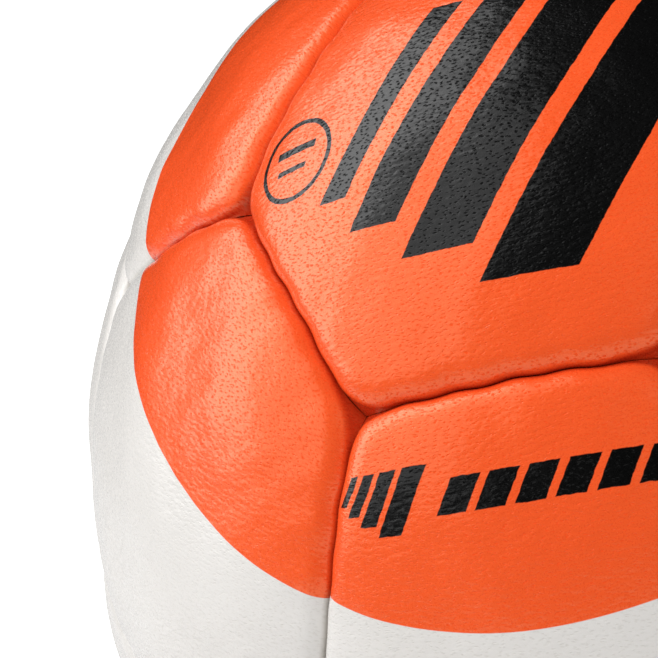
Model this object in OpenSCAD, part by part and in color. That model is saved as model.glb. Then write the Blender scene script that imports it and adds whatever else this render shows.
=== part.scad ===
// Stitched soccer ball: 20 six-sided and 12 five-sided panels around an air bladder.
// The origin is the centre of the ball and +Z runs out through the valve.
// Every panel is a laminate of leather, foam and cloth, with its edges turned inward at the seams.

/* [Ball] */
// Radius at the crown of a panel, for a size 5 ball of 68 to 70 cm around
ball_r = 110; // [108:0.5:112]
// Depth of a seam's corners below the crown of a panel
seam_drop = 1.4; // [0.8:0.1:2]
// Turn of the whole panel pattern about the valve axis, in degrees
panel_turn = 15; // [0:1:120]

/* [Cover] */
// Thickness of the leather
leather_t = 1.2; // [0.8:0.1:1.4]
// Thickness of the foam behind the leather
foam_t = 1.6; // [1:0.1:1.8]
// Thickness of the cloth behind the foam
cloth_t = 0.9; // [0.6:0.1:1]
// Free space between the leather of two neighbouring panels
seam_gap = 0.2; // [0.1:0.05:0.4]
// Height of the turned-in edges, from the corner of a panel inward
edge_h = 5.6; // [5.4:0.1:6.2]

/* [Stitching] */
// Width of the flat waxed thread
thread_w = 0.8; // [0.5:0.1:0.9]
// Distance from one stitch to the next
stitch_pitch = 8; // [6:0.5:8]

/* [Bladder and valve] */
// Thickness of the bladder's wall
bladder_t = 1.4; // [1:0.1:2]
// Outer radius of the valve stem
stem_r = 4; // [3.8:0.1:4.5]
// Radius of the valve core's plug
core_r = 2.75; // [2.5:0.05:2.8]
// Radius of the channel for the inflation needle
needle_r = 0.95; // [0.8:0.05:1]
// Length of the valve core, from its head to its closed end
core_h = 15.6; // [14:0.1:18]

/* [Hidden] */
$fn = 144;

// Truncated icosahedron with edges of length 1
golden = (1 + sqrt(5)) / 2;
solid_r = sqrt(1 + 9 * golden * golden) / 2;

// Elevations of the panel rings above the ball's equator, with a six-sided panel on top
hex_high = asin(sqrt(5) / 3);
hex_low = asin(1 / 3);
hex_spread = atan(sqrt(3 / 5));
pent_high = asin(sqrt((5 + 2 * sqrt(5)) / 15));
pent_low = asin(sqrt((5 - 2 * sqrt(5)) / 15));
third = [0, 120, 240];

// [elevation, azimuth] of every panel, from the valve down
hex_spots = concat(
    [[90, 0]],
    [for (a = third) [hex_high, a]],
    [for (a = third, side = [-1, 1]) [hex_low, a + side * hex_spread]],
    [for (a = third, side = [-1, 1]) [-hex_low, a + 60 + side * hex_spread]],
    [for (a = third) [-hex_high, a + 60]],
    [[-90, 0]]
);
pent_spots = concat(
    [for (a = third) [pent_high, a + 60]],
    [for (a = third) [pent_low, a]],
    [for (a = third) [-pent_low, a + 60]],
    [for (a = third) [-pent_high, a]]
);
// Panels whose centres are less than this angle apart share a seam
neighbour_angle = 45;

// Layers, measured inward from the leather's outer face
layer_gap = 0.05;
foam_depth = leather_t + layer_gap;
cloth_depth = foam_depth + foam_t + layer_gap;
laminate_t = cloth_depth + cloth_t;
seam_r = ball_r - seam_drop;
edge_r = seam_r - edge_h;

// Thread
thread_depth = laminate_t + 0.8;
thread_path_r = seam_r - thread_depth;
strand_x = seam_gap / 2 + laminate_t + layer_gap + thread_w / 2;
strand_half_angle = 9.3;
stitch_r = 0.35 * thread_w;
stitches_per_side = 2;

// Bladder and valve
bladder_gap = 0.2;
bladder_r = edge_r - bladder_gap;
stem_flange_r = 13;
stem_flange_t = 1.4;
patch_r = 17;
patch_t = 0.7;
patch_rise = 2.1;
hole_gap = 0.2;
core_gap = 0.05;
core_top = ball_r - 0.3;
core_head_r = core_r + 0.6;
core_head_h = 1.9;
stem_end = core_top - core_h + 1;
needle_channel_h = core_h - 1.5;
lead_in = 0.5;

orange = "orangered";
white = "whitesmoke";
// Four six-sided panels, set out like the corners of a tetrahedron, have no orange on them
plain_panels = [2, 8, 15, 17];

function panel_sides(kind) = kind == "hexagon" ? 6 : 5;
function spots(kind) = kind == "hexagon" ? hex_spots : pent_spots;
function aim(spot) = [
    cos(spot[0]) * cos(spot[1] + panel_turn),
    cos(spot[0]) * sin(spot[1] + panel_turn),
    sin(spot[0])
];

// Angles at the ball's centre, from a panel's centre to its corners and to its seams
function corner_angle(sides) = asin(1 / (2 * sin(180 / sides)) / solid_r);
function seam_angle(sides) =
    let (corner = 1 / (2 * sin(180 / sides)), across = 1 / (2 * tan(180 / sides)))
    atan(across / sqrt(solid_r * solid_r - corner * corner));

// Height of the centre of the sphere that crowns a panel and meets its corners at seam_r
function crown_z(sides) =
    (ball_r * ball_r - seam_r * seam_r) / (2 * (ball_r - seam_r * cos(corner_angle(sides))));

// Moves a shape drawn about +Z to lie about a spot, with its +X towards the direction ref
module place(spot, ref) {
    azimuth = spot[1] + panel_turn;
    south = [sin(spot[0]) * cos(azimuth), sin(spot[0]) * sin(azimuth), -cos(spot[0])];
    east = [-sin(azimuth), cos(azimuth), 0];
    rotate([0, 90 - spot[0], azimuth])
        rotate([0, 0, atan2(ref * east, ref * south)])
            children();
}

// Lays a shape over one panel, with its +X towards the middle of one of the panel's seams
module place_panel(kind, i) {
    spot = spots(kind)[i];
    near_hexagons = [
        for (other = hex_spots)
            if (aim(other) * aim(spot) > cos(neighbour_angle) && aim(other) * aim(spot) < 0.999)
                aim(other)
    ];
    place(spot, near_hexagons[0]) children();
}

// A sphere whose poles lie away from the panel drawn about +Z
module ball(r, z = 0) {
    translate([0, 0, z]) rotate([90, 0, 0]) sphere(r = r);
}

// Everything between a panel's seam planes, pulled in by inset on all sides
module wedge(sides, inset) {
    tip_z = inset / sin(seam_angle(sides));
    top_z = ball_r * 1.2;
    top_r = (top_z - tip_z) * tan(corner_angle(sides));
    corners = [
        for (i = [0:sides - 1])
            let (a = (i + 0.5) * 360 / sides)
                [top_r * cos(a), top_r * sin(a), top_z]
    ];
    polyhedron(
        points = concat([[0, 0, tip_z]], corners),
        faces = concat(
            [for (i = [0:sides - 1]) [0, i + 1, (i + 1) % sides + 1]],
            [[for (i = [sides:-1:1]) i]]
        )
    );
}

// One layer of a panel: a crowned sheet, depth below the surface, with its edges turned inward
module layer(sides, depth, thickness) {
    crown_r = ball_r - crown_z(sides);
    difference() {
        intersection() {
            wedge(sides, seam_gap / 2 + depth);
            ball(crown_r - depth, crown_z(sides));
        }
        intersection() {
            wedge(sides, seam_gap / 2 + depth + thickness);
            ball(crown_r - depth - thickness, crown_z(sides));
        }
        ball(edge_r);
    }
}

// A hole through the valve panel, around the valve's axis
module valve_hole(r) {
    translate([0, 0, bladder_r / 2]) cylinder(r = r, h = bladder_r);
}

module leather(kind, i) {
    place_panel(kind, i) layer(panel_sides(kind), 0, leather_t);
}

module valve_panel() {
    color(orange) difference() {
        leather("hexagon", 0);
        valve_hole(stem_r + hole_gap);
    }
}

module hexagon_panel(number) {
    color(len(search(number, plain_panels)) > 0 ? white : orange) leather("hexagon", number - 1);
}

module pentagon_panel(number) {
    color(orange) leather("pentagon", number - 1);
}

// The same inner layer of every panel of one kind
module layer_group(kind, depth, thickness) {
    for (i = [0:len(spots(kind)) - 1]) {
        difference() {
            place_panel(kind, i) layer(panel_sides(kind), depth, thickness);
            if (kind == "hexagon" && i == 0) valve_hole(stem_r + 3 * hole_gap);
        }
    }
}

module foam(kind) {
    color("ivory") layer_group(kind, foam_depth, foam_t);
}

module lining(kind) {
    color("lightgray") layer_group(kind, cloth_depth, cloth_t);
}

// The thread of one seam, drawn about +Z with the seam along Y:
// a strand on each side, and the stitches that pull both turned-in edges together
module seam_stitches() {
    strand_r = sqrt(thread_path_r * thread_path_r - strand_x * strand_x);
    pitch_angle = stitch_pitch / thread_path_r * 180 / PI;
    for (side = [-1, 1]) {
        translate([side * strand_x, 0, 0])
            rotate([0, -90, 0])
                rotate([0, 0, -strand_half_angle])
                    rotate_extrude(angle = 2 * strand_half_angle)
                        translate([strand_r, 0])
                            square(thread_w, center = true);
    }
    for (i = [-stitches_per_side:stitches_per_side]) {
        rotate([i * pitch_angle, 0, 0])
            translate([0, 0, strand_r])
                rotate([0, 90, 0])
                    cylinder(r = stitch_r, h = 2 * strand_x, center = true, $fn = 24);
    }
}

// The thread of every seam between a hexagon and a panel of the other kind given
module thread(kind) {
    same = kind == "hexagon";
    own_angle = seam_angle(6);
    other_angle = seam_angle(panel_sides(kind));
    for (i = [0:len(hex_spots) - 1], j = [0:len(spots(kind)) - 1]) {
        a = aim(hex_spots[i]);
        b = aim(spots(kind)[j]);
        if ((!same || i < j) && a * b > cos(neighbour_angle)) {
            middle = (a * sin(other_angle) + b * sin(own_angle)) / sin(own_angle + other_angle);
            place([asin(middle.z), atan2(middle.y, middle.x) - panel_turn], b - a) seam_stitches();
        }
    }
}

module hexagon_seam_thread() {
    color("orange") thread("hexagon");
}

module pentagon_seam_thread() {
    color("orange") thread("pentagon");
}

module bladder() {
    color("dimgray") difference() {
        sphere(r = bladder_r);
        sphere(r = bladder_r - bladder_t);
        valve_hole(stem_r + core_gap);
    }
}

// A round patch that follows the bladder, rise above its surface
module bladder_cap(rise, r, thickness) {
    intersection() {
        difference() {
            sphere(r = bladder_r + rise + thickness);
            sphere(r = bladder_r + rise);
        }
        cylinder(r = r, h = 2 * ball_r);
    }
}

module valve_stem() {
    color("black") difference() {
        union() {
            bladder_cap(layer_gap, stem_flange_r, stem_flange_t);
            translate([0, 0, stem_end]) cylinder(r = stem_r, h = core_top - stem_end);
        }
        translate([0, 0, stem_end - 1]) cylinder(r = core_r + core_gap, h = ball_r);
        translate([0, 0, core_top - core_head_h - core_gap]) cylinder(r = core_head_r + core_gap, h = ball_r);
    }
}

module valve_patch() {
    color("lightgray") difference() {
        bladder_cap(patch_rise, patch_r, patch_t);
        valve_hole(stem_r + 2 * hole_gap);
    }
}

module valve_core() {
    color("black") difference() {
        union() {
            translate([0, 0, core_top - core_h]) cylinder(r = core_r, h = core_h);
            translate([0, 0, core_top - core_head_h]) cylinder(r = core_head_r, h = core_head_h);
        }
        translate([0, 0, core_top - needle_channel_h]) cylinder(r = needle_r, h = core_h);
        translate([0, 0, core_top - lead_in]) cylinder(r1 = needle_r, r2 = needle_r + lead_in, h = lead_in);
    }
}

valve_panel();
hexagon_panel(2);  // hexagon_panel_02
hexagon_panel(3);  // hexagon_panel_03
hexagon_panel(4);  // hexagon_panel_04
hexagon_panel(5);  // hexagon_panel_05
hexagon_panel(6);  // hexagon_panel_06
hexagon_panel(7);  // hexagon_panel_07
hexagon_panel(8);  // hexagon_panel_08
hexagon_panel(9);  // hexagon_panel_09
hexagon_panel(10);  // hexagon_panel_10
hexagon_panel(11);  // hexagon_panel_11
hexagon_panel(12);  // hexagon_panel_12
hexagon_panel(13);  // hexagon_panel_13
hexagon_panel(14);  // hexagon_panel_14
hexagon_panel(15);  // hexagon_panel_15
hexagon_panel(16);  // hexagon_panel_16
hexagon_panel(17);  // hexagon_panel_17
hexagon_panel(18);  // hexagon_panel_18
hexagon_panel(19);  // hexagon_panel_19
hexagon_panel(20);  // hexagon_panel_20
pentagon_panel(1);  // pentagon_panel_01
pentagon_panel(2);  // pentagon_panel_02
pentagon_panel(3);  // pentagon_panel_03
pentagon_panel(4);  // pentagon_panel_04
pentagon_panel(5);  // pentagon_panel_05
pentagon_panel(6);  // pentagon_panel_06
pentagon_panel(7);  // pentagon_panel_07
pentagon_panel(8);  // pentagon_panel_08
pentagon_panel(9);  // pentagon_panel_09
pentagon_panel(10);  // pentagon_panel_10
pentagon_panel(11);  // pentagon_panel_11
pentagon_panel(12);  // pentagon_panel_12
foam("hexagon");  // hexagon_foam
foam("pentagon");  // pentagon_foam
lining("hexagon");  // hexagon_lining
lining("pentagon");  // pentagon_lining
hexagon_seam_thread();
pentagon_seam_thread();
bladder();
valve_stem();
valve_patch();
valve_core();
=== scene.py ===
"""A hand-sewn soccer ball: pillowed leather panels, seams, padding and valve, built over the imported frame."""

import math

import bpy
import numpy as np
from mathutils import Matrix, Vector


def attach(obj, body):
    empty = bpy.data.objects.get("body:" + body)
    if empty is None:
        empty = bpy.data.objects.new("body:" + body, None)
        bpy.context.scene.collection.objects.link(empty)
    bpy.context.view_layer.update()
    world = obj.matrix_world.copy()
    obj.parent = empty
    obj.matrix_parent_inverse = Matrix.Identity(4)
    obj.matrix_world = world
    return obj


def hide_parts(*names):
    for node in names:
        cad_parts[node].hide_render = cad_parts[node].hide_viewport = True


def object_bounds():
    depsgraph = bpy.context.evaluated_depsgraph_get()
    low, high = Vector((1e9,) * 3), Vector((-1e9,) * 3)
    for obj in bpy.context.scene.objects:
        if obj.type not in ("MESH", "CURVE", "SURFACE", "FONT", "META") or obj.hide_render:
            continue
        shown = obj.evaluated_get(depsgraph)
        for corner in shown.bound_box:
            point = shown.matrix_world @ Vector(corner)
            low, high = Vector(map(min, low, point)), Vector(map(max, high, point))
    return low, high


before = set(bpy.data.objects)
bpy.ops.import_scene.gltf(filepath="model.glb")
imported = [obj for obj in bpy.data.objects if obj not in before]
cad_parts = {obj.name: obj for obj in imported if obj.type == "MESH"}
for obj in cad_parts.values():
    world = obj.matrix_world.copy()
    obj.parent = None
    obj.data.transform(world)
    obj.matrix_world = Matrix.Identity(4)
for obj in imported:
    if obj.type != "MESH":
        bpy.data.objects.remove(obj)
cad_low, cad_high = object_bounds()

MM = 0.001
BALL_R = (cad_high[2] - cad_low[2]) / 2

# First seeds of the random draws; each panel or seam adds its own number
LUMP_SEED = 100
RIPPLE_SEED = 200
LIFT_SEED = 300
GRAIN_SEED = 500
SEAM_SEED = 1000

# Lay of the hide: how far its rows tilt from level, and the size of the hide that panels are cut from, in mm
ROW_TILT = 0.12
HIDE_SIZE = 500

# Panel pattern: a truncated icosahedron, here with edges of length 1
GOLDEN = (1 + math.sqrt(5)) / 2
SOLID_R = math.sqrt(1 + 9 * GOLDEN**2) / 2
NEIGHBOUR_COS = math.cos(math.radians(45))

# Panel shape
SEAM_DROP = 1.4 * MM
SEAM_GAP = 0.1 * MM
LEATHER_T = 1.2 * MM
FOAM_T = 1.6 * MM
LINING_T = 0.9 * MM
LAYER_GAP = 0.1 * MM
PAD_INSET = LEATHER_T + 2 * LAYER_GAP
FOAM_DEPTH = LEATHER_T + LAYER_GAP
LINING_DEPTH = FOAM_DEPTH + FOAM_T + LAYER_GAP
SHOULDER_W = 3.6 * MM
SHOULDER_H = 2.2 * MM
SLOPE_W = 8.0 * MM
SLOPE_H = 0.5 * MM
CORNER_SOFTNESS = 1.9 * MM
CORNER_PIT_SLOPE = 1.3
SHOULDER_ROWS = 12
GRID_STEP = 1.3 * MM
PAD_ROWS = 9
WALL_ROWS = 4

# Stitching
STITCH_PITCH = 8.0 * MM
SEAM_WAVE = 0.15 * MM
SLOW_WAVE = 0.8
SLOW_PITCH = 2.6 * STITCH_PITCH
SEAM_WAVE_REACH = 7.0 * MM
PUCKER_H = 0.22 * MM
PUCKER_REACH = 3.5 * MM
THREAD_R = 0.4 * MM
THREAD_DEPTH = 5.6 * MM
THREAD_SWING = 1.0 * MM
THREAD_SPAN = 0.84
THREAD_POINTS = 61
THREAD_SIDES = 8
THREAD_TIP = 0.05

# Softness of the filled panels
PANEL_LIFT = 0.25 * MM
LUMP_H = 0.16 * MM
LUMP_LENGTH = 26 * MM
RIPPLE_H = 0.035 * MM
RIPPLE_LENGTH = 8 * MM
SETTLE_REACH = 5 * MM

# Hand sewing: slow drift of every seam, and corners that closed off their true place, each with its
# slip and how far the slip reaches, in millimetres
DRIFT = 0.3 * MM
DRIFT_LENGTH = 75 * MM
CORNER_SLIPS = {
    ("hexagon_panel_04", "pentagon_panel_02", "hexagon_panel_09"): ((-1.2, -1.0, 0.7), 9),
    ("hexagon_panel_04", "hexagon_panel_09", "pentagon_panel_06"): ((-1.2, -0.7, -0.9), 9),
    ("hexagon_panel_08", "hexagon_panel_09", "pentagon_panel_02"): ((-0.6, 0.5, 0.8), 9),
    ("hexagon_panel_09", "hexagon_panel_14", "pentagon_panel_06"): ((-1.3, 0.1, 0.3), 22),
}

# Valve opening: its radius in the leather, its margin in the layers below, and how far it rounds the rows
HOLE_R = 4.2 * MM
HOLE_MARGIN = 0.4 * MM
HOLE_REACH = 13 * MM

# Colour pattern: orange discs about four panels, set out like the corners of a tetrahedron, and how far
# the print of a panel sits off its place, in millimetres
DISC_ANGLE = math.radians(38.5)
DISC_SLIPS = {"pentagon_panel_06": (1.6, 0.1, 0.4)}
DISC_CENTRES = ("hexagon_panel_04", "hexagon_panel_07", "hexagon_panel_16", "hexagon_panel_18")

# Print, in millimetres on a flat panel: slanted bars (left edge, width, bottom, top), a row of blocks, and
# a ring (centre x, centre y, radius, stroke) with two bars in it
SLANT = 0.55
RING_SLANT = 0.2
BIG_BARS = ((-22, 5, -9, 22), (-13, 8, -15, 22), (-1, 11, -21, 22), (14, 14, -27, 22))
SMALL_BARS = (
    (-36.4, 1.4, 18, 22.8),
    (-34, 2.0, 16.4, 22.8),
    (-31, 2.8, 14.8, 22.8),
    (-27.2, 3.8, 13.2, 22.8),
)
BLOCK_COUNT = 6
BLOCK_PITCH = 5.6
BLOCKS = tuple((-18.6 + BLOCK_PITCH * i, 4.3, 15.2, 20.2) for i in range(BLOCK_COUNT))
RING = (-33, 1.4, 7.0, 0.9)
RING_BARS = ((-37.6, 8.0, 2.6, 4.0), (-36.6, 6.0, -0.6, 0.4))


# ---------------------------------------------------------------- panels of the frame


def unit(v):
    return v / np.linalg.norm(v, axis=-1, keepdims=True)


def face_distance(sides):
    """Distance of a face of the unit-edge truncated icosahedron from its centre."""
    corner_r = 1 / (2 * math.sin(math.pi / sides))
    return math.sqrt(SOLID_R**2 - corner_r**2)


def centre_direction(node):
    """Direction from the ball's centre to a CAD panel's centre of area."""
    mesh = node.data
    mesh.calc_loop_triangles()
    corners = np.zeros(len(mesh.vertices) * 3)
    mesh.vertices.foreach_get("co", corners)
    corners = corners.reshape(-1, 3)
    tris = np.zeros(len(mesh.loop_triangles) * 3, int)
    mesh.loop_triangles.foreach_get("vertices", tris)
    a, b, c = (corners[tris.reshape(-1, 3)[:, i]] for i in range(3))
    area = np.linalg.norm(np.cross(b - a, c - a), axis=1)
    return unit(((a + b + c) * area[:, None]).sum(0))


class Seam:
    """One seam, as seen from one of its two panels."""

    def __init__(self, own, other):
        self.normal = seam_normal(own, other)
        self.middle = unit(own.axis - self.normal * (self.normal @ own.axis))
        self.side = 1 if own.index < other.index else -1
        self.along = np.cross(self.normal * self.side, self.middle)
        self.half_length = BALL_R * math.asin(0.5 / SOLID_R)
        first, second = sorted((own.index, other.index))
        rng = np.random.default_rng(SEAM_SEED + 40 * first + second)
        self.phase, self.slow_phase = rng.uniform(0, 2 * math.pi, 2)
        self.strength = rng.uniform(0.6, 1.2)


class Panel:
    """One panel of the cover: its place on the ball and the seams around it."""

    def __init__(self, index, name, node):
        self.index = index
        self.name = name
        self.sides = 5 if name.startswith("pentagon") else 6
        self.axis = centre_direction(node)
        self.face = face_distance(self.sides)
        self.edge_low = min(v.co.length for v in node.data.vertices)

    def find_seams(self, panels):
        near = [p for p in panels if p is not self and p.axis @ self.axis > NEIGHBOUR_COS]
        self.x_axis = unit(near[0].axis - self.axis * (near[0].axis @ self.axis))
        self.y_axis = np.cross(self.axis, self.x_axis)
        near.sort(key=self.turn_to)
        self.neighbours = near
        self.seams = [Seam(self, p) for p in near]
        seam_angle = math.acos(min(1, self.seams[0].middle @ self.axis))
        corner = unit(np.cross(self.seams[0].normal, self.seams[1].normal))
        self.inner_r = BALL_R * math.tan(seam_angle) - SEAM_GAP / 2
        seam_r = BALL_R - SEAM_DROP
        corner_cos = abs(corner @ self.axis)
        self.crown_z = (BALL_R**2 - seam_r**2) / (2 * (BALL_R - seam_r * corner_cos))

    def turn_to(self, other):
        """Angle of another panel round this one's axis, just under a full turn counting as 0."""
        turn = math.atan2(other.axis @ self.y_axis, other.axis @ self.x_axis)
        return turn % (2 * math.pi - 0.01)

    def directions(self, flat):
        """Unit directions of points given in the plane that touches the ball at the panel's centre."""
        return unit(self.axis * BALL_R + flat[:, :1] * self.x_axis + flat[:, 1:2] * self.y_axis)

    def turned(self, flat, towards):
        """The same flat points, measured with y pointing away from a direction on the ball."""
        up = -unit(towards - self.axis * (towards @ self.axis))
        right = np.cross(up, self.axis)
        x = flat[:, 0] * (self.x_axis @ right) + flat[:, 1] * (self.y_axis @ right)
        y = flat[:, 0] * (self.x_axis @ up) + flat[:, 1] * (self.y_axis @ up)
        return np.stack([x, y, np.zeros(len(flat))], 1) / MM


def seam_normal(a, b):
    return unit(a.axis / a.face - b.axis / b.face)


def corner_direction(a, b, c):
    corner = unit(np.cross(seam_normal(a, b), seam_normal(a, c)))
    return corner * math.copysign(1, corner @ a.axis)


def read_panels():
    names = sorted(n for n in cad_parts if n.endswith("_panel") or "_panel_" in n)
    found = [Panel(i, n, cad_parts[n]) for i, n in enumerate(names)]
    for panel in found:
        panel.find_seams(found)
    return {p.name: p for p in found}


PANELS = read_panels()


# ---------------------------------------------------------------- shape of the leather


class Waves:
    """Smooth random field with about unit spread, made of plane waves near one wavelength."""

    def __init__(self, seed, wavelength, count=28):
        rng = np.random.default_rng(seed)
        turns = unit(rng.normal(size=(count, 3)))
        self.waves = turns * (2 * math.pi / wavelength * rng.uniform(0.6, 1.5, (count, 1)))
        self.phase = rng.uniform(0, 2 * math.pi, count)
        self.scale = math.sqrt(2 / count)

    def __call__(self, points):
        return np.sin(points @ self.waves.T + self.phase).sum(1) * self.scale


DRIFT_FIELDS = [Waves(seed, DRIFT_LENGTH) for seed in (1, 2, 3)]
SLIPS = [(corner_direction(*(PANELS[n] for n in names)) * BALL_R, np.array(slip) * MM, reach * MM)
         for names, (slip, reach) in CORNER_SLIPS.items()]


def sewn_shift(directions):
    """Sideways shift of points on the ball: no hand-sewn seam lies exactly on its true line."""
    points = directions * BALL_R
    shift = np.stack([field(points) for field in DRIFT_FIELDS], 1) * DRIFT
    for corner, slip, reach in SLIPS:
        share = np.exp(-((points - corner) ** 2).sum(1) / (2 * reach**2))
        shift += share[:, None] * slip
    return shift - directions * (shift * directions).sum(1, keepdims=True)


def seam_coordinates(panel, directions):
    """Distances of points from each seam, and their places along it."""
    across = [BALL_R * np.arcsin(directions @ s.normal) - SEAM_GAP / 2 for s in panel.seams]
    along = [BALL_R * np.arctan2(directions @ s.along, directions @ s.middle) for s in panel.seams]
    return np.stack(across, 1), np.stack(along, 1)


def seam_distance(across):
    """Distance to the panel's outline, with its corners rounded."""
    k = CORNER_SOFTNESS
    return -k * np.log(np.exp(-across / k).sum(1))


def shoulder(t):
    """How far the leather curves down at a distance t from the seam."""
    inside = np.clip(t / SHOULDER_W, 0, 1)
    roll = SHOULDER_H * (1 - np.sqrt(1 - (1 - inside) ** 2))
    pit = CORNER_PIT_SLOPE * np.clip(-t, 0, None)
    return roll + pit + SLOPE_H * np.exp(-np.clip(t, 0, None) / SLOPE_W)


def stitch_window(seam, along):
    """1 along a seam, falling to 0 at its two corners."""
    return np.clip(np.cos(along / seam.half_length * math.pi / 2), 0, 1) ** 0.5


def pucker(panel, across, along):
    """How far the stitches pull the leather down."""
    depth = np.zeros(len(across))
    for i, seam in enumerate(panel.seams):
        pull = np.cos(math.pi * along[:, i] / STITCH_PITCH) ** 2
        near = np.exp(-np.clip(across[:, i], 0, None) / PUCKER_REACH)
        depth += pull * near * stitch_window(seam, along[:, i])
    return PUCKER_H * depth


def thread_pull(seam, s):
    """Sideways wave of a seam's line at a distance s along it, from the pull of its thread."""
    wave = np.sin(2 * math.pi * s / STITCH_PITCH + seam.phase)
    wave += SLOW_WAVE * np.sin(2 * math.pi * s / SLOW_PITCH + seam.slow_phase)
    wave *= SEAM_WAVE * seam.strength * stitch_window(seam, s)
    return wave[:, None] * (seam.normal * seam.side)


class Leather:
    """Places points of one panel on its finished surface."""

    def __init__(self, panel):
        self.panel = panel
        self.lumps = Waves(LUMP_SEED + panel.index, LUMP_LENGTH)
        self.ripples = Waves(RIPPLE_SEED + panel.index, RIPPLE_LENGTH)
        rng = np.random.default_rng(LIFT_SEED + panel.index)
        self.lift = rng.uniform(-PANEL_LIFT, PANEL_LIFT)

    def crown(self, directions):
        """Radius of the panel's domed shape."""
        z = self.panel.crown_z
        cos = directions @ self.panel.axis
        return z * cos + np.sqrt((BALL_R - z) ** 2 - z**2 * (1 - cos**2))

    def place(self, flat, under=0):
        """Points on the leather's outer face, or a depth under it."""
        directions = self.panel.directions(flat)
        across, along = seam_coordinates(self.panel, directions)
        shift = sewn_shift(directions)
        for i, seam in enumerate(self.panel.seams):
            fade = np.exp(-((across[:, i] / SEAM_WAVE_REACH) ** 2))
            shift += thread_pull(seam, along[:, i]) * fade[:, None]
        t = seam_distance(across)
        height = self.crown(directions) - shoulder(t) - pucker(self.panel, across, along)
        settle = 1 - np.exp(-np.clip(t, 0, None) / SETTLE_REACH)
        points = directions * BALL_R
        height += (self.lift + LUMP_H * self.lumps(points)) * settle
        height += RIPPLE_H * self.ripples(points)
        return directions * (height - under)[:, None] + shift


# ---------------------------------------------------------------- sheets


def on_circle(radius, angle):
    return radius * np.array([math.cos(angle), math.sin(angle)])


class Grid:
    """A panel's flat outline, cut into one kite of quads for each corner, with a round hole if asked for."""

    def __init__(self, panel, steps, inset=0, hole_r=0):
        n = len(steps) - 1
        sides = panel.sides
        inner_r = panel.inner_r - inset
        half = math.pi / sides
        middles = [on_circle(inner_r, 2 * half * k) for k in range(sides)]
        corners = [on_circle(inner_r / math.cos(half), 2 * half * k + half) for k in range(sides)]
        u, v = np.meshgrid(steps[1:], steps, indexing="ij")
        ring = np.maximum(u, v).ravel() * inner_r
        u, v = u[..., None], v[..., None]
        flats, rings = [np.zeros((1, 2))], [np.zeros(1)]
        index = np.zeros((sides, n + 1, n + 1), int)
        for k in range(sides):
            kite = u * (1 - v) * middles[k] + u * v * corners[k] + (1 - u) * v * middles[(k + 1) % sides]
            flats.append(kite.reshape(-1, 2))
            rings.append(ring)
            index[k, 1:, :] = 1 + k * n * (n + 1) + np.arange(n * (n + 1)).reshape(n, n + 1)
        for k in range(sides):
            index[k, 0, 1:] = index[(k + 1) % sides, 1:, 0]
        self.flat = np.concatenate(flats)
        cells = np.stack([index[:, :-1, :-1], index[:, 1:, :-1], index[:, 1:, 1:], index[:, :-1, 1:]], -1)
        self.outline = self.loop(index, n)
        self.hole = None
        keep = np.ones((n, n), bool)
        if hole_r:
            m = int(np.searchsorted(steps * inner_r, hole_r))
            keep[:m, :m] = False
            self.hole = self.loop(index, m)
            self.open_hole(np.concatenate(rings), steps[m] * inner_r, hole_r)
        self.quads = cells[:, keep].reshape(-1, 4)

    def loop(self, index, row):
        """Points of the ring of edges at one row, in order."""
        return np.concatenate([np.concatenate([kite[row, :row + 1], kite[row, row - 1:0:-1]])
                               for kite in index[:, :row + 1, :row + 1]])

    def open_hole(self, ring, hole_ring, hole_r):
        """Bends the rows round the centre from the outline's shape to a circle."""
        away = np.clip((ring - hole_ring) / (HOLE_REACH - hole_ring), 0, 1)
        smooth = (away**2 * (3 - 2 * away))[:, None]
        length = np.linalg.norm(self.flat, axis=1, keepdims=True) + 1e-12
        round_r = (hole_r + ring - hole_ring)[:, None]
        self.flat = self.flat / length * round_r * (1 - smooth) + self.flat * smooth


def shoulder_steps(panel):
    """Places of the grid's rows from the panel's centre, 0, to its outline, 1, close together at the edge."""
    roll = np.linspace(0, math.pi / 2, SHOULDER_ROWS + 1)
    edge = SHOULDER_W * (1 - np.cos(roll))
    rows = math.ceil((panel.inner_r - SHOULDER_W) / GRID_STEP)
    inside = np.linspace(SHOULDER_W, panel.inner_r, rows + 1)[1:]
    return 1 - np.concatenate([edge, inside])[::-1] / panel.inner_r


class MeshParts:
    """Points and faces collected for one mesh."""

    def __init__(self):
        self.points, self.quads, self.count = [], [], 0

    def add_points(self, points):
        self.points.append(points)
        self.count += len(points)
        return np.arange(self.count - len(points), self.count)

    def bridge(self, loop_a, loop_b):
        """Quads between two closed loops of the same length."""
        self.quads.append(np.stack([loop_a, loop_b, np.roll(loop_b, -1), np.roll(loop_a, -1)], 1))

    def mesh(self, name):
        points = np.concatenate(self.points)
        quads = np.concatenate(self.quads)
        mesh = bpy.data.meshes.new(name)
        mesh.vertices.add(len(points))
        mesh.vertices.foreach_set("co", points.astype(np.float32).ravel())
        mesh.loops.add(quads.size)
        mesh.loops.foreach_set("vertex_index", quads.astype(np.int32).ravel())
        mesh.polygons.add(len(quads))
        mesh.polygons.foreach_set("loop_start", np.arange(0, quads.size, 4, dtype=np.int32))
        mesh.polygons.foreach_set("use_smooth", np.ones(len(quads), bool))
        mesh.update(calc_edges=True)
        mesh.validate()
        return mesh


def add_sheet(parts, grid, top, bottom, wall_loops=()):
    """A closed sheet: top and bottom faces on one grid, joined round the outline and round any hole."""
    top_at = parts.add_points(top)
    bottom_at = parts.add_points(bottom)
    parts.quads.append(top_at[grid.quads])
    parts.quads.append(bottom_at[grid.quads][:, ::-1])
    last = top_at[grid.outline]
    for loop in wall_loops:
        at = parts.add_points(loop)
        parts.bridge(last, at)
        last = at
    parts.bridge(last, bottom_at[grid.outline])
    if grid.hole is not None:
        parts.bridge(bottom_at[grid.hole], top_at[grid.hole])


def at_radius(points, radius):
    return unit(points) * np.reshape(radius, (-1, 1))


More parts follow.
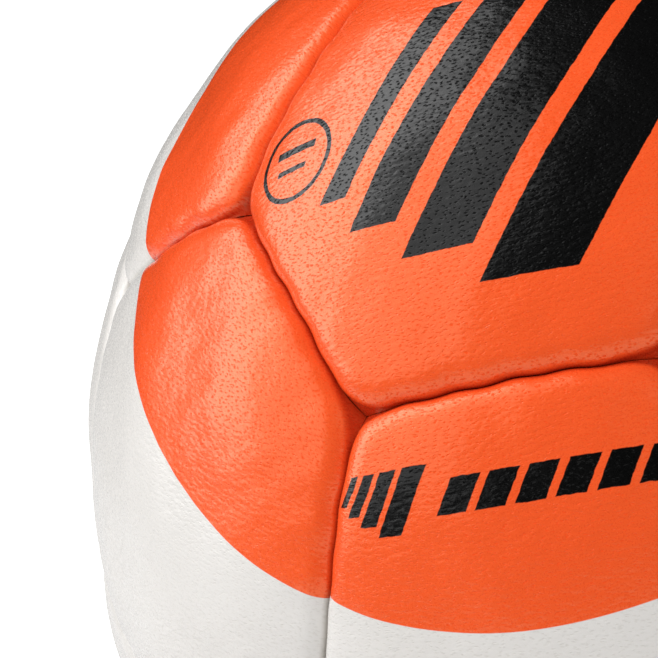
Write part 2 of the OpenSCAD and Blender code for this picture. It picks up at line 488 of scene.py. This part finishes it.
def set_vectors(mesh, name, values):
    attribute = mesh.attributes.new(name, "FLOAT_VECTOR", "POINT")
    attribute.data.foreach_set("vector", values.astype(np.float32).ravel())


def set_numbers(mesh, name, values):
    attribute = mesh.attributes.new(name, "FLOAT", "POINT")
    attribute.data.foreach_set("value", values.astype(np.float32))


def new_piece(name, mesh, material, node):
    """A piece of the ball that stands for one CAD node."""
    obj = bpy.data.objects.new(name, mesh)
    bpy.context.scene.collection.objects.link(obj)
    mesh.materials.append(material)
    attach(obj, "ball")
    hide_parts(node)


def printed_below(panel):
    """The pentagon under a disc's middle panel, where the small print goes."""
    pentagons = [p for p in panel.neighbours if p.sides == 5]
    return min(pentagons, key=lambda p: p.axis[2])


def build_panel(panel, looks):
    """A panel of leather with its edges turned inward and its inner face."""
    leather = Leather(panel)
    hole_r = HOLE_R if panel.name == "valve_panel" else 0
    grid = Grid(panel, shoulder_steps(panel), hole_r=hole_r)
    top = leather.place(grid.flat)
    shrink = 1 - LEATHER_T / panel.inner_r
    inner_flat = grid.flat * (1 if hole_r else shrink)
    if hole_r:
        inner_flat[grid.outline] *= shrink
    bottom = leather.place(inner_flat, LEATHER_T)
    rim = top[grid.outline]
    rim_r = np.linalg.norm(rim, axis=1)
    steps_down = [i / WALL_ROWS for i in range(1, WALL_ROWS + 1)]
    walls = [at_radius(rim, rim_r + (panel.edge_low - rim_r) * step) for step in steps_down]
    walls.append(at_radius(bottom[grid.outline], panel.edge_low))
    parts = MeshParts()
    add_sheet(parts, grid, top, bottom, walls)
    mesh = parts.mesh(panel.name + "_leather")
    flats = np.concatenate([grid.flat, inner_flat] + [grid.flat[grid.outline]] * len(walls))
    slot = mark_colours(panel, mesh, flats)
    mark_grain(panel, mesh, flats)
    look = mark_print(panel, mesh, flats)
    new_piece(panel.name + "_leather", mesh, looks[look], panel.name)


def mark_colours(panel, mesh, flats):
    """Stores each point's distance outside the nearest disc and from the seam; returns the name of the panel's
    colour.
    """
    directions = panel.directions(flats)
    discs = np.array([PANELS[n].axis for n in DISC_CENTRES])
    slip = np.array(DISC_SLIPS.get(panel.name, (0, 0, 0))) * MM / BALL_R
    angle = np.arccos(np.clip(unit(directions - slip) @ discs.T, -1, 1)).min(1)
    set_numbers(mesh, "disc_edge", (angle - DISC_ANGLE) * BALL_R / MM)
    across, _ = seam_coordinates(panel, directions)
    set_numbers(mesh, "seam_distance", seam_distance(across) / MM)
    return "white_leather" if angle.min() > DISC_ANGLE else "orange_leather"


def mark_grain(panel, mesh, flats):
    """Stores each point's place in the hide, whose rows lie nearly level; each panel is another cut of it."""
    rng = np.random.default_rng(GRAIN_SEED + panel.index)
    across_rows = unit(ROW_TILT * rng.normal(size=3) - (0, 0, 1))
    cut = rng.uniform(-HIDE_SIZE, HIDE_SIZE, 3)
    set_vectors(mesh, "grain", panel.turned(flats, across_rows) + cut)


def mark_print(panel, mesh, flats):
    """Stores each point's place in the print of a printed panel; returns the name of the panel's look."""
    if panel.name in DISC_CENTRES:
        set_vectors(mesh, "print", panel.turned(flats, printed_below(panel).axis))
        return "leather_big_print"
    for name in DISC_CENTRES:
        if printed_below(PANELS[name]) is panel:
            set_vectors(mesh, "print", panel.turned(flats, -PANELS[name].axis))
            return "leather_small_print"
    return "leather"


def build_padding(name, sides, depth, thickness, material):
    """The padding or lining under all panels with the same number of sides."""
    parts = MeshParts()
    for panel in PANELS.values():
        if panel.sides != sides:
            continue
        leather = Leather(panel)
        hole_r = HOLE_R + HOLE_MARGIN if panel.name == "valve_panel" else 0
        grid = Grid(panel, np.linspace(0, 1, PAD_ROWS + 1), PAD_INSET, hole_r)
        top = leather.place(grid.flat, depth)
        add_sheet(parts, grid, top, leather.place(grid.flat, depth + thickness))
    new_piece(name + "_layer", parts.mesh(name + "_layer"), material, name)


def thread_path(seam):
    """Middle line of one seam's thread, and the direction out of the ball at each of its points."""
    s = np.linspace(-THREAD_SPAN, THREAD_SPAN, THREAD_POINTS) * seam.half_length
    angle = (s / BALL_R)[:, None]
    directions = seam.middle * np.cos(angle) + seam.along * np.sin(angle)
    swing = np.sin(2 * math.pi * s / STITCH_PITCH)[:, None] * THREAD_SWING * seam.normal
    path = directions * (BALL_R - THREAD_DEPTH) + swing + sewn_shift(directions) + thread_pull(seam, s)
    return path, directions


def add_strand(parts, path, out):
    """A round strand along a path, drawn to a point at both ends."""
    ahead = unit(np.gradient(path, axis=0))
    side = unit(np.cross(ahead, out))
    up = np.cross(side, ahead)
    radius = np.full(len(path), THREAD_R)
    radius[[0, -1]] *= THREAD_TIP
    loops = []
    for i in range(len(path)):
        round_it = [on_circle(radius[i], 2 * math.pi * k / THREAD_SIDES) for k in range(THREAD_SIDES)]
        loops.append(parts.add_points(np.array([path[i] + x * side[i] + y * up[i] for x, y in round_it])))
    for a, b in zip(loops, loops[1:]):
        parts.bridge(a, b)
    for loop, order in ((loops[0], 1), (loops[-1], -1)):
        caps = loop[[(0, 1, 2, 3), (0, 3, 4, 7), (4, 5, 6, 7)]]
        parts.quads.append(caps[:, ::order])


def build_thread(name, with_pentagon, material):
    """The waxed thread of all hexagon seams, or all pentagon seams: one wavy strand sewn along each."""
    parts = MeshParts()
    for panel in PANELS.values():
        for seam, other in zip(panel.seams, panel.neighbours):
            has_pentagon = panel.sides == 5 or other.sides == 5
            if panel.index < other.index and has_pentagon == with_pentagon:
                add_strand(parts, *thread_path(seam))
    new_piece(name + "_strands", parts.mesh(name + "_strands"), material, name)


# ---------------------------------------------------------------- materials


class Nodes:
    """Short-hand for building a material's node tree."""

    def __init__(self, name):
        self.material = bpy.data.materials.new(name)
        self.material.use_nodes = True
        self.tree = self.material.node_tree
        self.tree.nodes.clear()

    def put(self, socket, value):
        if isinstance(value, bpy.types.NodeSocket):
            self.tree.links.new(value, socket)
        else:
            socket.default_value = value

    def add(self, kind, settings=None, **inputs):
        node = self.tree.nodes.new("ShaderNode" + kind)
        for name, value in (settings or {}).items():
            setattr(node, name, value)
        for name, value in inputs.items():
            self.put(node.inputs[name.replace("_", " ")], value)
        return node

    def math(self, operation, *values):
        node = self.add("Math", {"operation": operation})
        for socket, value in zip(node.inputs, values):
            self.put(socket, value)
        return node.outputs[0]

    def vector(self, operation, *values):
        node = self.add("VectorMath", {"operation": operation})
        for socket, value in zip(node.inputs, values):
            self.put(socket, value)
        return node.outputs[0]

    def mix(self, factor, a, b):
        node = self.add("Mix", {"data_type": "RGBA"})
        for socket, value in zip((node.inputs[0], node.inputs[6], node.inputs[7]), (factor, a, b)):
            self.put(socket, value)
        return node.outputs[2]

    def range(self, value, low, high, to_low=0.0, to_high=1.0):
        node = self.add("MapRange", Value=value)
        for name, number in (("From Min", low), ("From Max", high), ("To Min", to_low), ("To Max", to_high)):
            node.inputs[name].default_value = number
        return node.outputs[0]

    def noise(self, vector, scale, detail=2.0, rough=0.5):
        return self.add("TexNoise", Vector=vector, Scale=scale, Detail=detail, Roughness=rough)

    def cells(self, vector, scale, feature="F1", **inputs):
        settings = {"voronoi_dimensions": "2D", "feature": feature}
        node = self.add("TexVoronoi", settings, Vector=vector, Scale=scale)
        for name, value in inputs.items():
            node.inputs[name].default_value = value
        return node.outputs["Distance"]

    def attribute(self, name, output):
        return self.add("Attribute", {"attribute_name": name}).outputs[output]

    def finish(self, shader):
        self.add("OutputMaterial", Surface=shader.outputs[0])
        return self.material


ORANGE = (1.0, 0.099, 0.018, 1)
ORANGE_DEEP = (0.72, 0.045, 0.006, 1)
# Painted shade: the dark red that the seam groove of orange panels is darkened to
ORANGE_SEAM_SHADE = (0.42, 0.012, 0.004, 1)
ORANGE_GLOSS = (1, 0.85, 0.25, 1)
WHITE = (0.80, 0.775, 0.745, 1)
WHITE_DEEP = (0.52, 0.48, 0.43, 1)
WHITE_GLOSS = (1, 1, 1, 1)
INK = (0.003, 0.003, 0.003, 1)

# Half the width over which an edge of ink or of a disc fades, how far the grain bends ink and its own rows,
# all in millimetres, and how many bends there are per millimetre
INK_EDGE = 0.06
DISC_EDGE = 0.05
INK_WOBBLE = (0.35, 0.35, 0)
ROW_WOBBLE = (0.9, 0.9, 0)
WOBBLES_PER_MM = 0.8

# Leather grain: features per millimetre, how much they are drawn out along the rows, and the relief
WRINKLES_PER_MM = 1.35
WRINKLE_STRETCH = (0.3, 1.0, 1.0)
PEBBLES_PER_MM = 1.25
PORES_PER_MM = 1.85
PORE_STRETCH = (0.45, 1.1, 1.0)
FINE_GRAIN_PER_MM = 3.2
RELIEF_H = 0.07 * MM

# Colour marks: mottling per millimetre, how strongly pores are darkened, how strongly the painted seam shade
# darkens the seam groove, and the width of that painted shade in millimetres
MOTTLES_PER_MM = 0.06
PORE_DARKENING = 0.22
SEAM_SHADE = 0.7
SEAM_SHADE_W = 0.6


def bar(n, x, y, left, width, bottom, top, slant=SLANT):
    """1 inside a slanted bar, 0 outside; left edge is measured at the height y = 0."""
    u = n.math("SUBTRACT", x, n.math("MULTIPLY", y, slant))
    across = n.math("ABSOLUTE", n.math("SUBTRACT", u, left + width / 2))
    upright = n.math("ABSOLUTE", n.math("SUBTRACT", y, (bottom + top) / 2))
    inside_x = n.range(across, width / 2 - INK_EDGE, width / 2 + INK_EDGE, 1, 0)
    half_height = (top - bottom) / 2
    inside_y = n.range(upright, half_height - INK_EDGE, half_height + INK_EDGE, 1, 0)
    return n.math("MINIMUM", inside_x, inside_y)


def ring(n, x, y, centre_x, centre_y, radius, stroke):
    dx = n.math("SUBTRACT", x, centre_x)
    dy = n.math("SUBTRACT", y, centre_y)
    r = n.math("SQRT", n.math("ADD", n.math("MULTIPLY", dx, dx), n.math("MULTIPLY", dy, dy)))
    off = n.math("ABSOLUTE", n.math("SUBTRACT", r, radius))
    return n.range(off, stroke / 2 - INK_EDGE, stroke / 2 + INK_EDGE, 1, 0)


def print_coordinates(n, wobble):
    place = n.vector("MULTIPLY_ADD", wobble, INK_WOBBLE, n.attribute("print", "Vector"))
    split = n.add("SeparateXYZ", Vector=place)
    return split.outputs[0], split.outputs[1]


def big_print(n, wobble):
    x, y = print_coordinates(n, wobble)
    shapes = [bar(n, x, y, *b) for b in BIG_BARS]
    shapes.append(ring(n, x, y, *RING))
    shapes += [bar(n, x, y, *b, slant=RING_SLANT) for b in RING_BARS]
    return join(n, shapes)


def small_print(n, wobble):
    x, y = print_coordinates(n, wobble)
    return join(n, [bar(n, x, y, *b) for b in SMALL_BARS + BLOCKS])


def join(n, shapes):
    total = shapes[0]
    for shape in shapes[1:]:
        total = n.math("MAXIMUM", total, shape)
    return total


def grain_pattern(n, grain, wobble):
    """Relief of the leather, its pores, and its finest grain."""
    bent = n.vector("MULTIPLY_ADD", wobble, ROW_WOBBLE, grain)
    drawn_out = n.vector("MULTIPLY", bent, PORE_STRETCH)
    rows = n.vector("MULTIPLY", bent, WRINKLE_STRETCH)
    wrinkles = n.noise(rows, WRINKLES_PER_MM).outputs[0]
    pebbles = n.range(n.cells(drawn_out, PEBBLES_PER_MM, "SMOOTH_F1", Smoothness=0.4), 0.1, 0.7, 1, 0)
    pores = n.range(n.cells(drawn_out, PORES_PER_MM), 0.10, 0.27, 1, 0)
    fine = n.noise(grain, FINE_GRAIN_PER_MM, rough=0.6).outputs[0]
    relief = n.math("MULTIPLY_ADD", wrinkles, 0.5, n.math("MULTIPLY", pebbles, 0.4))
    relief = n.math("MULTIPLY_ADD", fine, 0.12, relief)
    relief = n.math("MULTIPLY_ADD", pores, -0.4, relief)
    return relief, pores, fine


def leather_colour(n, grain, pores, in_disc):
    """Orange or off-white, a little mottled, deeper in the pores, and darkened with painted shade in the groove
    where two panels meet.
    """
    mottle = n.range(n.noise(grain, MOTTLES_PER_MM, 3.0).outputs[0], 0.3, 0.7, 0, 0.08)
    in_pore = n.math("MULTIPLY", pores, PORE_DARKENING)
    orange = n.mix(in_pore, n.mix(mottle, ORANGE, ORANGE_DEEP), ORANGE_DEEP)
    white = n.mix(in_pore, n.mix(mottle, WHITE, WHITE_DEEP), WHITE_DEEP)
    # Painted shade: near the seam, orange darkens to a deep red and white to its deep tone, standing in for the
    # shade in the crack between panels
    seam_shade = n.range(n.attribute("seam_distance", "Fac"), 0, SEAM_SHADE_W, SEAM_SHADE, 0)
    return n.mix(seam_shade, n.mix(in_disc, white, orange), n.mix(in_disc, WHITE_DEEP, ORANGE_SEAM_SHADE))


def leather_look(name, print_shapes=None):
    """Coated leather: fine wrinkled grain with small dull pores, orange discs on off-white, and black ink."""
    n = Nodes(name)
    grain = n.attribute("grain", "Vector")
    wobble = n.noise(grain, WOBBLES_PER_MM).outputs["Color"]
    relief, pores, fine = grain_pattern(n, grain, wobble)
    bump = n.add("Bump", Strength=1.0, Distance=RELIEF_H, Height=relief).outputs[0]

    in_disc = n.range(n.attribute("disc_edge", "Fac"), -DISC_EDGE, DISC_EDGE, 1, 0)
    colour = leather_colour(n, grain, pores, in_disc)
    rough = n.range(fine, 0.3, 0.7, 0.25, 0.33)
    coat = n.range(pores, 0, 1, 0.8, 0.08)
    tint = n.mix(in_disc, WHITE_GLOSS, ORANGE_GLOSS)
    gloss = n.range(in_disc, 0, 1, 0.15, 0.85)
    if print_shapes:
        ink = print_shapes(n, wobble)
        colour = n.mix(ink, colour, INK)
        tint = n.mix(ink, tint, WHITE_GLOSS)
        gloss = n.math("MULTIPLY", gloss, n.range(ink, 0, 1, 1, 0.25))
    gloss = n.math("MULTIPLY", gloss, n.range(pores, 0, 1, 1, 0.1))
    shader = n.add(
        "BsdfPrincipled", Base_Color=colour, Roughness=rough, Normal=bump, Specular_Tint=tint,
        Specular_IOR_Level=gloss, Coat_Weight=coat, Coat_Roughness=0.2, Coat_Normal=bump,
    )
    return n.finish(shader)


def cloth_look(name, colour, dark, threads_per_mm):
    """Woven or fleecy cloth."""
    n = Nodes(name)
    place = n.vector("SCALE", n.add("TexCoord").outputs["Object"])
    place.node.inputs["Scale"].default_value = threads_per_mm / MM
    weave = n.cells(place, 1.0, "SMOOTH_F1", Smoothness=0.5)
    tint = n.mix(n.range(weave, 0.1, 0.8), colour, dark)
    bump = n.add("Bump", Strength=0.6, Distance=0.1 * MM, Height=weave).outputs[0]
    return n.finish(n.add("BsdfPrincipled", Base_Color=tint, Roughness=0.9, Sheen_Weight=0.3, Normal=bump))


def foam_look(name):
    """Closed-cell foam."""
    n = Nodes(name)
    place = n.add("TexCoord").outputs["Object"]
    bubbles = n.add("TexVoronoi", Vector=place, Scale=1400.0).outputs["Distance"]
    tint = n.mix(bubbles, (0.72, 0.69, 0.60, 1), (0.45, 0.42, 0.35, 1))
    bump = n.add("Bump", Strength=0.8, Distance=0.15 * MM, Height=bubbles).outputs[0]
    return n.finish(n.add("BsdfPrincipled", Base_Color=tint, Roughness=0.95, Normal=bump))


def rubber_look(name, colour, rough):
    """Moulded rubber with a faint bloom."""
    n = Nodes(name)
    place = n.add("TexCoord").outputs["Object"]
    bloom = n.noise(place, 160.0, 3.0).outputs[0]
    fine = n.noise(place, 2600.0, 2.0).outputs[0]
    tint = n.mix(n.range(bloom, 0.4, 0.75), colour, tuple(0.6 * c + 0.03 for c in colour[:3]) + (1,))
    bump = n.add("Bump", Strength=0.4, Distance=0.03 * MM, Height=fine).outputs[0]
    roughness = n.range(bloom, 0.3, 0.7, rough - 0.08, rough + 0.08)
    return n.finish(n.add("BsdfPrincipled", Base_Color=tint, Roughness=roughness, Normal=bump))


def thread_look(name):
    """Waxed polyester thread with twisted plies."""
    n = Nodes(name)
    place = n.add("TexCoord").outputs["Object"]
    plies = n.noise(place, 2200.0, 2.0, 0.7).outputs[0]
    tint = n.mix(plies, (0.80, 0.78, 0.72, 1), (0.45, 0.42, 0.36, 1))
    bump = n.add("Bump", Strength=0.7, Distance=0.05 * MM, Height=plies).outputs[0]
    return n.finish(n.add("BsdfPrincipled", Base_Color=tint, Roughness=0.5, Normal=bump))


def set_look(node, material):
    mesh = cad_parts[node].data
    mesh.materials.clear()
    mesh.materials.append(material)


# ---------------------------------------------------------------- studio

CAMERA_DISTANCE = 3.6 * BALL_R
CAMERA_ELEVATION = math.radians(19.58)
CAMERA_ROLL = math.radians(16.14)
CAMERA_AIM = (-61.7 * MM, 37.23 * MM)
LENS = 121.7
SENSOR = 36

# Softboxes: azimuth from the front, elevation and lean in degrees, distance, width and height in metres,
# radiance, and whether the coat mirrors it
SOFTBOXES = {
    "key": (-80, 43, 22, 0.9, 1.0, 1.12, 0.8, True),
    "key_hot_side": (-101, 43, 22, 0.9, 0.42, 1.12, 1.5, True),
    "left_fill": (-96, 46, 0, 1.2, 0.7, 0.7, 3.2, False),
    "front_fill": (22, 36, 0, 1.2, 0.7, 0.7, 2.9, False),
    "back_fill": (140, 35, 0, 1.2, 0.7, 0.7, 2.2, False),
}
AMBIENT = 0.42
FLOOR_HALF = 6
FLOOR_GLOW = 0.9


def build_camera():
    """A long lens in front of the ball and a little above it, rolled, and aimed off its middle."""
    back = Vector((0, -math.cos(CAMERA_ELEVATION), math.sin(CAMERA_ELEVATION)))
    place = back * CAMERA_DISTANCE
    right = Vector((1, 0, 0))
    up = right.cross(-back)
    aim = right * CAMERA_AIM[0] + up * CAMERA_AIM[1]
    camera = bpy.data.objects.new("camera", bpy.data.cameras.new("camera"))
    camera.data.lens = LENS
    camera.data.sensor_width = SENSOR
    camera.data.clip_start = 0.01
    camera.data.clip_end = 50
    turn = (aim - place).to_track_quat("-Z", "Y").to_matrix().to_4x4()
    camera.matrix_world = Matrix.Translation(place) @ turn @ Matrix.Rotation(-CAMERA_ROLL, 4, "Z")
    bpy.context.scene.collection.objects.link(camera)
    bpy.context.scene.camera = camera


def add_softbox(name, azimuth, elevation, lean, distance, width, height, radiance, mirrored):
    """A soft rectangular lamp that faces the ball."""
    azimuth, elevation = math.radians(azimuth), math.radians(elevation)
    flat = math.cos(elevation)
    place = distance * Vector((flat * math.sin(azimuth), -flat * math.cos(azimuth), math.sin(elevation)))
    lamp = bpy.data.lights.new(name, "AREA")
    lamp.shape = "RECTANGLE"
    lamp.size = width
    lamp.size_y = height
    lamp.energy = radiance * math.pi * width * height
    obj = bpy.data.objects.new(name, lamp)
    upright = (-place).to_track_quat("-Z", "Y").to_matrix().to_4x4()
    leaning = Matrix.Rotation(math.radians(lean), 4, "Z")
    obj.matrix_world = Matrix.Translation(place) @ upright @ leaning
    obj.visible_glossy = mirrored
    bpy.context.scene.collection.objects.link(obj)


def build_surroundings():
    """White all round to the camera, softer to the ball, and not mirrored in it."""
    world = bpy.data.worlds.new("studio")
    bpy.context.scene.world = world
    world.use_nodes = True
    tree = world.node_tree
    background = tree.nodes["Background"]
    background.inputs["Color"].default_value = (1, 1, 1, 1)
    path = tree.nodes.new("ShaderNodeLightPath")
    strength = tree.nodes.new("ShaderNodeMapRange")
    strength.inputs["To Min"].default_value = AMBIENT
    strength.inputs["To Max"].default_value = 1.0
    tree.links.new(path.outputs["Is Camera Ray"], strength.inputs["Value"])
    tree.links.new(strength.outputs[0], background.inputs["Strength"])
    world.cycles_visibility.glossy = False


def build_floor():
    """A pale floor that the camera sees as white."""
    corners = [(x * FLOOR_HALF, y * FLOOR_HALF, 0) for x, y in ((-1, -1), (1, -1), (1, 1), (-1, 1))]
    mesh = bpy.data.meshes.new("floor")
    mesh.from_pydata(corners, [], [(0, 1, 2, 3)])
    floor = bpy.data.objects.new("floor", mesh)
    floor.location.z = cad_low[2]
    bpy.context.scene.collection.objects.link(floor)
    n = Nodes("pale_floor")
    glow = n.math("MULTIPLY", n.add("LightPath").outputs["Is Camera Ray"], FLOOR_GLOW)
    speckle = n.noise(n.add("TexCoord").outputs["Object"], 400.0).outputs[0]
    tint = n.mix(speckle, (0.66, 0.66, 0.66, 1), (0.62, 0.62, 0.62, 1))
    shader = n.add("BsdfPrincipled", Base_Color=tint, Roughness=0.9)
    shader.inputs["Emission Color"].default_value = (1, 1, 1, 1)
    n.put(shader.inputs["Emission Strength"], glow)
    mesh.materials.append(n.finish(shader))


leather_looks = {
    "leather": leather_look("coated_leather"),
    "leather_big_print": leather_look("coated_leather_big_print", big_print),
    "leather_small_print": leather_look("coated_leather_small_print", small_print),
}
for panel in PANELS.values():
    build_panel(panel, leather_looks)

foam = foam_look("foam")
lining = cloth_look("lining_cloth", (0.62, 0.60, 0.55, 1), (0.30, 0.28, 0.25, 1), 1.4)
thread = thread_look("waxed_thread")
for sides, word in ((6, "hexagon"), (5, "pentagon")):
    build_padding(word + "_foam", sides, FOAM_DEPTH, FOAM_T, foam)
    build_padding(word + "_lining", sides, LINING_DEPTH, LINING_T, lining)
    build_thread(word + "_seam_thread", sides == 5, thread)

set_look("bladder", rubber_look("bladder_rubber", (0.035, 0.033, 0.03, 1), 0.55))
set_look("valve_patch", rubber_look("valve_patch_rubber", (0.03, 0.028, 0.027, 1), 0.6))
set_look("valve_stem", rubber_look("valve_stem_rubber", (0.022, 0.02, 0.02, 1), 0.42))
set_look("valve_core", rubber_look("valve_core_rubber", (0.05, 0.05, 0.05, 1), 0.5))

build_camera()
for name, numbers in SOFTBOXES.items():
    add_softbox(name, *numbers)
build_surroundings()
build_floor()
bpy.context.scene.view_settings.view_transform = "Standard"
